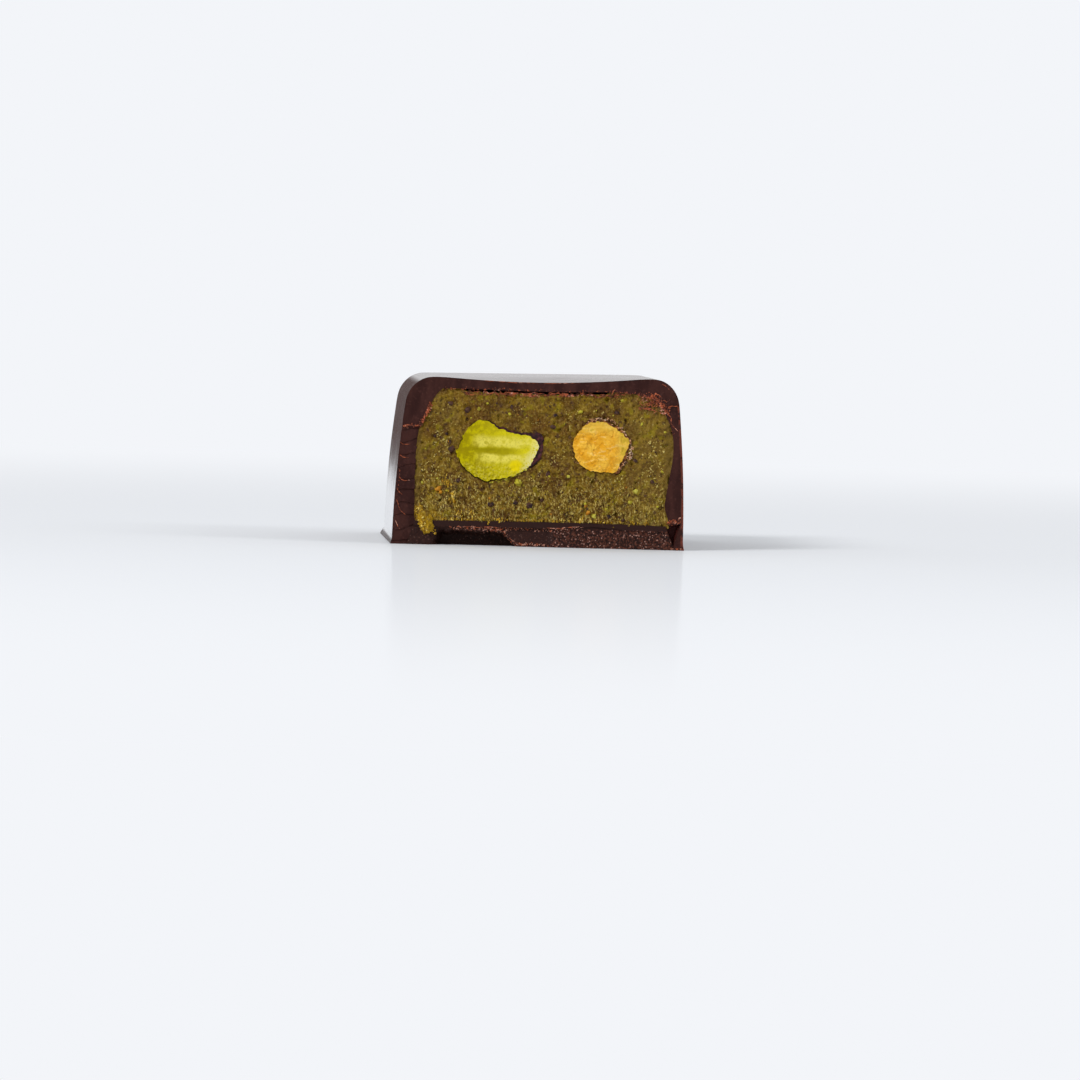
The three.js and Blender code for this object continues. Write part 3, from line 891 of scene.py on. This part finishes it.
def shave(stations, thickness, relief=shell_relief):
    """One thin shaving along [x, z] stations in millimetres, lying on a face of the cut."""
    count = 4 * len(stations)
    spline = shavings.splines.new("POLY")
    spline.points.add(count - 1)
    curl = dice.uniform(0, 50)
    for i, point in enumerate(spline.points):
        at, share = divmod(i * (len(stations) - 1) / (count - 1), 1)
        nearby = (min(max(int(at) + step, 0), len(stations) - 1) for step in (-1, 0, 1, 2))
        place = on_curve(*(Vector(stations[one]) for one in nearby), share)
        place += Vector((wave(i, curl, 2.5), wave(i, curl, 2.5, 9))) * 0.06
        place *= mm
        y = cut_y + relief(place.x, place.y) - 0.02 * mm - 0.1 * mm * max(wave(i, curl, 3, 4), 0)
        point.co = (place.x, y, place.y, 1)
        ends = math.sin(math.pi * (i + 0.5) / count) ** 0.5
        point.radius = thickness * mm * ends * (1 + 0.4 * wave(i, curl, 1.5, 5))


for stations, thickness in (
    (((13.2, 15.8), (13.9, 15.1), (14.4, 14.6), (14.5, 13.9), (15.2, 13.15)), 0.055),
    (((13.8, 15.5), (14.3, 15.85), (14.9, 15.9), (15.2, 15.75)), 0.05),
    (((12.9, 15.5), (13.5, 15.0), (14.0, 15.3), (13.8, 15.9)), 0.055),
    (((12.1, 16.9), (12.8, 17.15), (13.35, 16.7), (13.1, 16.1)), 0.055),
    (((-15.1, 13.05), (-14.7, 12.95), (-14.3, 13.1), (-13.7, 13.05)), 0.06),
    (((-13.2, 13.2), (-12.8, 13.7), (-12.75, 14.3), (-12.4, 14.6)), 0.06),
    (((-15.5, 7.6), (-15.25, 7.2), (-14.9, 7.0), (-14.2, 7.02)), 0.05),
    (((-15.6, 4.9), (-15.4, 4.2), (-15.1, 3.6), (-14.6, 3.25)), 0.045),
    (((-15.6, 6.2), (-15.4, 5.75), (-15.0, 5.45)), 0.04),
    (((-15.4, 9.85), (-15.0, 9.55), (-14.4, 9.5)), 0.04),
    (((-15.4, 11.2), (-15.0, 10.95), (-14.3, 11.0)), 0.035),
    (((-15.7, 2.6), (-15.5, 2.1), (-15.2, 1.6)), 0.04),
    (((7, 16.9), (7.7, 17.0), (8.1, 17.55), (8.6, 17.15)), 0.05),
    (((-6.4, 18.22), (-4.4, 18.12), (-2.4, 18.06), (-0.4, 18.05)), 0.035),
    (((0.2, 18.05), (1.6, 18.08), (3.0, 18.12), (4.2, 18.17)), 0.03),
    (((13.3, 18.3), (13.75, 18.05), (14.1, 17.7)), 0.035),
):
    shave(stations, thickness)
for stations, thickness in (
    (((1.0, 2.16), (2.2, 2.12), (3.4, 2.26), (4.6, 2.36)), 0.045),
    (((-3.2, 1.15), (-2.8, 0.7), (-2.2, 0.35), (-1.2, 0.2)), 0.05),
    (((-8.2, 2.1), (-6.6, 2.02), (-5.4, 2.12), (-4.2, 2.0)), 0.035),
):
    shave(stations, thickness, backing_relief)
for _ in range(60):
    x = dice.uniform(-8.8, 8.4)
    length = dice.uniform(0.4, 1.7)
    z = 16.8 + dice.uniform(-0.12, 0.14)
    bends = [(x + length * i / 3, z + dice.gauss(0, 0.14)) for i in range(4)]
    shave(bends, dice.uniform(0.025, 0.06), paste_relief)
for _ in range(34):
    x, z = dice.uniform(10.5, 13.6), dice.uniform(15.2, 17.0)
    length = dice.uniform(0.3, 1.0)
    if x + z < 29.8:
        bends = [(x + length * i / 3, z + dice.gauss(0, 0.14)) for i in range(4)]
        shave(bends, dice.uniform(0.02, 0.045))
curls = bpy.data.objects.new("chocolate_shavings", shavings)
bpy.context.collection.objects.link(curls)
only(curls)
bpy.ops.object.convert(target="MESH")

torn = Shader("torn chocolate", Specular_IOR_Level=0.3, Roughness=0.6)
tone = torn.noise(0.35 * mm, 80, 2)
torn.paint(torn.mix(tone.step(0.4, 0.6), srgb(80, 36, 24), srgb(182, 94, 58)))
# Pale painted highlights, a few more of them low down
painted_highlight = torn.noise(0.5 * mm, 84, 2) + 0.1 * torn.z.step(4 * mm, 2 * mm)
torn.layer(painted_highlight.step(0.58, 0.66) * 0.7, 226, 166, 142)
torn.bump(torn.noise(0.1 * mm, 81), 0.02 * mm, 0.5)
for piece in (crumbs, curls):
    coat(piece, torn)
    soften(piece, 40)
    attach(piece, "root")

# --- Crumbs and specks of nut ---
# Bits that show in the face of the paste: dark scraps of kernel skin, yellow-green and
# orange bits of nut, pale grains and crumbs that the blade dragged down, and flakes of
# brown skin round the roasted kernel.


def in_paste(x, z, sunk):
    """A place on the cut face of the paste, a little below its surface."""
    return Vector((x * mm, cut_y + paste_relief(x * mm, z * mm) + sunk * mm, z * mm))


def off_kernels(x, z):
    """True where the paste shows, clear of both kernels."""
    green_far = ((x + 4.6) / 5.4) ** 2 + ((z - 10.6) / 4.1) ** 2 > 1
    return green_far and ((x - 6.9) / 3.9) ** 2 + ((z - 11.2) / 3.6) ** 2 > 1


def sprinkled(count, low, high, low_z=3.2, smooth=0.0):
    """Random bits over the paste, each x, z and radius, and fewer where it is smeared smooth."""
    bits = []
    while len(bits) < count:
        x, z = dice.uniform(-13.2, 13.8), dice.uniform(low_z, 16.2)
        smeared = ease(wave(x, z, 2.4, 90) + 0.06 * (z - 8), -0.1, 0.25)
        in_face = abs(x) < 15.6 - 0.25 * max(z - 12, 0) ** 1.3
        if off_kernels(x, z) and in_face and dice.random() > smooth * smeared:
            bits.append((x, z, low + (high - low) * dice.random() ** 2))
    return bits


def bits_piece(name, bits, sunk, flat):
    """One mesh of flat bits in the face of the paste, each given by x, z and radius."""
    spots = []
    for x, z, size in bits:
        wide, tall = (size * mm * dice.uniform(0.7, 1.25) for _ in range(2))
        spots.append((in_paste(x, z, sunk), (wide, size * mm * flat, tall), dice.uniform(-0.8, 0.8)))
    piece = scattered(name, spots)
    soften(piece, 60)
    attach(piece, "root")
    return piece


dark_bits = [
    (-5.2, 4.6, 0.42), (0.5, 5.2, 0.34), (-2.5, 4.9, 0.36), (-0.9, 4.6, 0.34),
    (-8.1, 14.9, 0.42), (8.4, 15, 0.34), (-9.7, 10.6, 0.36), (0.9, 8.1, 0.36),
    (-11.6, 12.0, 0.24), (-10.3, 12.2, 0.24), (1.4, 13.3, 0.26), (-9.9, 15.6, 0.26),
    (12.5, 7.5, 0.26), (7.8, 3.5, 0.26), (9.4, 3.2, 0.26), (-8.9, 7.1, 0.22),
    (12, 15.6, 0.24), (10.6, 9.8, 0.26), (-9.9, 11.4, 0.2), (1.6, 14.6, 0.2),
    (-3.2, 15.4, 0.2),
]
specks = bits_piece("skin_specks", dark_bits + sprinkled(110, 0.04, 0.13), -0.04, 0.6)
green_bits = [
    (-2.3, 7.1, 0.44), (-12.9, 6.8, 0.34), (4.4, 15, 0.28), (10.7, 6.4, 0.36),
    (13.8, 13, 0.2), (3.2, 7.9, 0.28), (5.2, 4.9, 0.2), (6.2, 3.6, 0.34),
    (-6.8, 15.1, 0.24), (10.1, 5.2, 0.26), (-3.4, 14.6, 0.2), (13.6, 8.6, 0.18),
    (11.2, 13.9, 0.18), (-5.9, 15.7, 0.2), (9, 16.4, 0.22),
]
kernel_foot = ((-5.6, 7.0), (-4.2, 7.2), (-3.0, 7.65), (-1.9, 8.2), (-1.1, 8.9))
green_bits += [(x / mm, z / mm, dice.uniform(0.06, 0.13)) for x, z in along_line(kernel_foot, 34, 0.07)]
bits = bits_piece("nut_bits", green_bits + sprinkled(36, 0.06, 0.15), -0.02, 0.6)
orange_places = [(-11.1, 6.2, 0.4), (-10.8, 5.8, 0.3), (5.5, 3.9, 0.32), (5.3, 4.7, 0.2)]
orange_bits = bits_piece("orange_bits", orange_places + sprinkled(14, 0.06, 0.12), -0.03, 0.6)
crumb_bits = []
for stations, count, spread in (
    (((-13.1, 4.2), (-13.05, 3.0), (-12.8, 2.1), (-12.3, 1.65), (-11.8, 1.6)), 160, 0.2),
    (((-11, 2.95), (-6, 2.8), (0, 2.95), (6, 3.0), (13, 2.95)), 120, 0.12),
    (((-10.3, 7.4), (-9.8, 6.2), (-9.3, 4.8), (-8.9, 3.3)), 70, 0.22),
    (((-8.3, 3.9), (-7.2, 3.2), (-6.2, 3.0)), 26, 0.2),
):
    for x, z in along_line(stations, count, spread):
        crumb_bits.append((x / mm, z / mm, dice.uniform(0.05, 0.15)))
crumb_spots = []
for x, z, size in crumb_bits:
    across = (x * mm - smear_centre[0]) / smear_size.x
    upwards = (z * mm - smear_centre[1]) / smear_size.z
    near = max(1 - across ** 2 - upwards ** 2, 0)
    place = in_paste(x, z, -0.02)
    place.y -= (0.3 * mm + smear_proud) * math.sqrt(near)
    tall = 1.6 if near == 0 and x > -11 else 1
    radii = [size * mm * dice.uniform(0.7, 1.3) * stretch for stretch in (1 / tall, 1, tall)]
    crumb_spots.append((place, radii, dice.uniform(-0.4, 0.4)))
pale_crumbs = scattered("paste_crumbs", crumb_spots)
soften(pale_crumbs, 60)
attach(pale_crumbs, "root")
grain_spots = []
for x, z, size in sprinkled(2200, 0.04, 0.12, 2.8, 0.93):
    tall = 1 + 2.6 * (1 - ease(z, 4, 9)) * dice.random()
    radii = [size * mm * stretch for stretch in (1 / tall ** 0.5, 0.7, tall)]
    grain_spots.append((in_paste(x, z, 0.01), radii, 0.016 * x - 0.12 + dice.gauss(0, 0.3)))
grains = scattered("paste_grains", grain_spots)
soften(grains, 60)
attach(grains, "root")
scrap_spots = []
for stations, count, spread, size in (
    (((4.9, 13.5), (5.6, 14.1), (6.5, 14.3), (7.6, 14.25), (8.3, 13.9)), 70, 0.12, 0.13),
    (((8.4, 13.7), (9.2, 12.9), (9.8, 12.1), (10.1, 11.2), (10.1, 10.5)), 60, 0.1, 0.13),
    (((10.15, 10.9), (10.1, 10.4), (9.9, 9.9)), 12, 0.08, 0.2),
    (((9.9, 10.2), (9.4, 9.4), (8.6, 8.6)), 26, 0.12, 0.12),
    (((3.7, 9.8), (4.3, 9.0)), 8, 0.08, 0.1),
):
    for x, z in along_line(stations, count, spread):
        radius = size * mm * dice.uniform(0.5, 1.2)
        place = Vector((x, cut_y + dice.uniform(-0.05, 0.16) * mm, z))
        scrap_spots.append((place, (radius, 0.8 * radius, 0.45 * radius), dice.uniform(-1.5, 1.5)))
scraps = scattered("skin_scraps", scrap_spots)
soften(scraps, 30)
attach(scraps, "root")
# The last colour of each row paints glints; on the skin scraps it is also the pale of whitish flakes
for piece, low, high, painted_glints_and_pale_flakes in (
    (grains, (88, 62, 12), (190, 168, 84), (214, 194, 116)),
    (scraps, (76, 40, 18), (228, 172, 122), (244, 214, 182)),
    (specks, (40, 22, 24), (80, 50, 34), (80, 50, 34)),
    (bits, (140, 124, 22), (186, 174, 44), (204, 196, 84)),
    (orange_bits, (158, 98, 12), (200, 138, 30), (200, 138, 30)),
    (pale_crumbs, (140, 100, 4), (204, 164, 44), (238, 214, 116)),
):
    bit = Shader(piece.name.replace("_", " "), Roughness=0.5, Specular_IOR_Level=0.25)
    bit.paint(bit.mix(bit.noise(0.3 * mm, 82, 2).step(0.4, 0.6), srgb(*low), srgb(*high)))
    bit.layer(bit.noise(0.5 * mm, 85, 2).step(0.54, 0.62) * 0.7, *painted_glints_and_pale_flakes)
    bit.bump(bit.noise(0.12 * mm, 83), 0.03 * mm, 0.6)
    coat(piece, bit)

# --- Studio ---
# A white studio: a pale floor with a weak sheen that fades into a pale background, soft
# light from the sides, above and behind, and a dimmer side behind the camera.

backdrop = (0.896, 0.913, 0.947, 1)
bpy.ops.mesh.primitive_circle_add(vertices=96, radius=6, fill_type="NGON")
floor = bpy.context.object
floor.name = "floor"
paper = Shader("floor")
paper.tree.nodes.remove(paper.tree.nodes["Principled BSDF"])
matt = paper.node("ShaderNodeBsdfDiffuse", {}, {"Color": (0.80, 0.82, 0.85, 1)})
sheen = paper.node("ShaderNodeBsdfGlossy", {}, {"Color": (1, 1, 1, 1), "Roughness": 0.12})
ground_look = paper.node("ShaderNodeMixShader", {}, {0: 0.1, 1: matt, 2: sheen})
glow = paper.node("ShaderNodeEmission", {}, {"Color": backdrop, "Strength": 1})
far = paper.node("ShaderNodeVectorMath", {"operation": "LENGTH"}, {0: paper.place}, "Value")
paper.feed(paper.tree.nodes["Material Output"].inputs["Surface"], paper.node(
    "ShaderNodeMixShader", {}, {0: far.step(0.05, 0.4), 1: ground_look, 2: glow}
))
coat(floor, paper)

world = bpy.data.worlds.new("studio")
bpy.context.scene.world = world
world.use_nodes = True
world.node_tree.nodes.remove(world.node_tree.nodes["Background"])
sky = Nodes(world.node_tree)
direction = sky.node("ShaderNodeTexCoord", output="Object")
to_back, upwards = (sky.node("ShaderNodeSeparateXYZ", {}, {0: direction}, axis) for axis in "YZ")
strength = (1.2 - 0.86 * to_back.step(1.0, -0.9)) * (1 - 0.25 * upwards.step(0.25, 0.7))
lit = sky.node("ShaderNodeBackground", {}, {"Color": (0.97, 0.98, 1.0, 1), "Strength": strength})
seen = sky.node("ShaderNodeBackground", {}, {"Color": backdrop})
by_camera = sky.node("ShaderNodeLightPath", output="Is Camera Ray")
sky.feed(world.node_tree.nodes["World Output"].inputs["Surface"], sky.node(
    "ShaderNodeMixShader", {}, {0: by_camera, 1: lit, 2: seen}
))

for name, place, width, height, power in (
    ("left softbox", (-1.05, -1.1, 1.0), 0.55, 0.55, 18),
    ("right softbox", (1.3, -0.5, 0.8), 0.5, 0.5, 4),
):
    lamp = bpy.data.lights.new(name, "AREA")
    lamp.shape = "RECTANGLE"
    lamp.size, lamp.size_y, lamp.energy = width, height, power
    box = bpy.data.objects.new(name, lamp)
    bpy.context.collection.objects.link(box)
    box.location = place
    towards_cut = Vector((0, cut_y, 9 * mm)) - Vector(place)
    box.rotation_euler = towards_cut.to_track_quat("-Z", "Y").to_euler()

# --- Camera ---
# Level with the top of the bar and a little to its left, as far as a long lens stands,
# and tipped so that the foot of the bar drops slightly to the right.

camera = bpy.data.cameras.new("camera")
camera.lens = 272.7
camera.sensor_width = 36
camera.clip_start = 0.01
camera.clip_end = 20
viewer = bpy.data.objects.new("camera", camera)
bpy.context.collection.objects.link(viewer)
viewer.location = (-41 * mm, cut_y - 900 * mm, 31 * mm)
aim = Vector((0.28 * mm, cut_y, 0.8 * mm)) - viewer.location
tip = Quaternion((0, 0, 1), math.radians(1.49))
viewer.rotation_euler = (aim.to_track_quat("-Z", "Y") @ tip).to_euler()
bpy.context.scene.camera = viewer
bpy.context.scene.view_settings.view_transform = "Standard"
